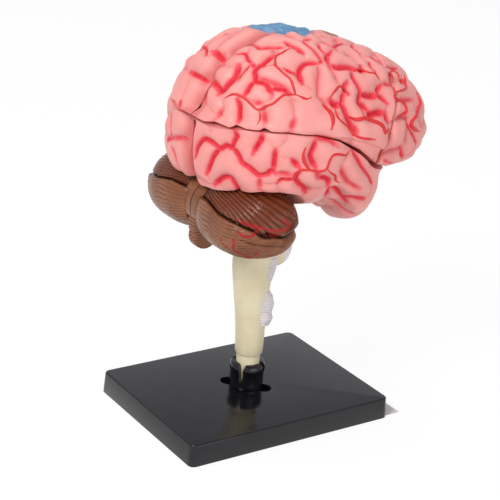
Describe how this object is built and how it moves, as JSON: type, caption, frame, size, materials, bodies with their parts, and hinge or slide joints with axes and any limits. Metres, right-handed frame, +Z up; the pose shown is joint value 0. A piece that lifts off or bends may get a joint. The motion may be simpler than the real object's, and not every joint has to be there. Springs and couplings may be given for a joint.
{
  "type": "brain anatomy model",
  "caption": "Take-apart model of the human brain: pink furrowed cortex pieces, brown cerebellum and cream brain stem standing by a peg in a split socket on a black base plate.",
  "frame": {"origin": "middle of the whole model's plan, on the table", "axes": "+X towards the frontal poles, +Y to the brain's left side, +Z up along the stem"},
  "size_m": [0.1052, 0.08, 0.1461],
  "materials": {
    "stand_black": "moulded black plastic, polished",
    "stem_cream": "satin cream plastic",
    "nerve_white": "satin off-white plastic",
    "cerebellum_brown": "glossy brown paint over moulded plastic",
    "cortex_pink": "satin pink plastic with crimson paint in the furrows",
    "white_matter": "satin cream plastic",
    "nucleus_mauve": "satin mauve plastic",
    "nerve_ochre": "satin ochre plastic",
    "ventricle_blue": "satin blue plastic",
    "artery_red": "glossy red paint"
  },
  "bodies": {
    "stand": {"base_plate": "stand_black"},
    "socket": {"stand_socket": "stand_black"},
    "brain": {"brain_stem": "stem_cream", "vermis": "cerebellum_brown", "corpus_callosum": "white_matter", "fornix": "nerve_ochre", "optic_chiasm": "nerve_ochre", "pituitary": "nucleus_mauve", "basilar_artery": "artery_red", "white_matter_right": "white_matter", "white_matter_left": "white_matter", "insula_right": "cortex_pink", "insula_left": "cortex_pink", "basal_ganglia_right": "nucleus_mauve", "basal_ganglia_left": "nucleus_mauve", "thalamus_right": "nucleus_mauve", "thalamus_left": "nucleus_mauve", "hippocampus_right": "nerve_ochre", "hippocampus_left": "nerve_ochre", "ventricle_right": "ventricle_blue", "ventricle_left": "ventricle_blue", "olfactory_tract_right": "nerve_ochre", "olfactory_tract_left": "nerve_ochre", "nerve_roots_right": "nerve_white", "nerve_roots_left": "nerve_white"},
    "frontoparietal_right": {"frontoparietal_right": "cortex_pink"},
    "temporal_right": {"temporal_right": "cortex_pink"},
    "frontal_pole_right": {"frontal_pole_right": "cortex_pink"},
    "cerebellum_right": {"cerebellum_right": "cerebellum_brown"},
    "frontoparietal_left": {"frontoparietal_left": "cortex_pink"},
    "temporal_left": {"temporal_left": "cortex_pink"},
    "frontal_pole_left": {"frontal_pole_left": "cortex_pink"},
    "cerebellum_left": {"cerebellum_left": "cerebellum_brown"}
  },
  "joints": [
    {"name": "socket_turn", "type": "hinge", "parent": "stand", "child": "socket", "pos_m": [-0.0087, 0, 0.0084], "axis": [0, 0, 1], "range_deg": [0, 90]},
    {"name": "brain_lift", "type": "slide", "parent": "socket", "child": "brain", "axis": [0, 0, 1], "range_m": [0, 0.02]},
    {"name": "frontoparietal_right_pull", "type": "slide", "parent": "brain", "child": "frontoparietal_right", "axis": [0, -1, 0], "range_m": [0, 0.045]},
    {"name": "temporal_right_pull", "type": "slide", "parent": "brain", "child": "temporal_right", "axis": [0, -1, 0], "range_m": [0, 0.045]},
    {"name": "frontal_pole_right_pull", "type": "slide", "parent": "brain", "child": "frontal_pole_right", "axis": [0, -1, 0], "range_m": [0, 0.045]},
    {"name": "cerebellum_right_pull", "type": "slide", "parent": "brain", "child": "cerebellum_right", "axis": [0, -1, 0], "range_m": [0, 0.045]},
    {"name": "frontoparietal_left_pull", "type": "slide", "parent": "brain", "child": "frontoparietal_left", "axis": [0, 1, 0], "range_m": [0, 0.045]},
    {"name": "temporal_left_pull", "type": "slide", "parent": "brain", "child": "temporal_left", "axis": [0, 1, 0], "range_m": [0, 0.045]},
    {"name": "frontal_pole_left_pull", "type": "slide", "parent": "brain", "child": "frontal_pole_left", "axis": [0, 1, 0], "range_m": [0, 0.045]},
    {"name": "cerebellum_left_pull", "type": "slide", "parent": "brain", "child": "cerebellum_left", "axis": [0, 1, 0], "range_m": [0, 0.045]}
  ]
}
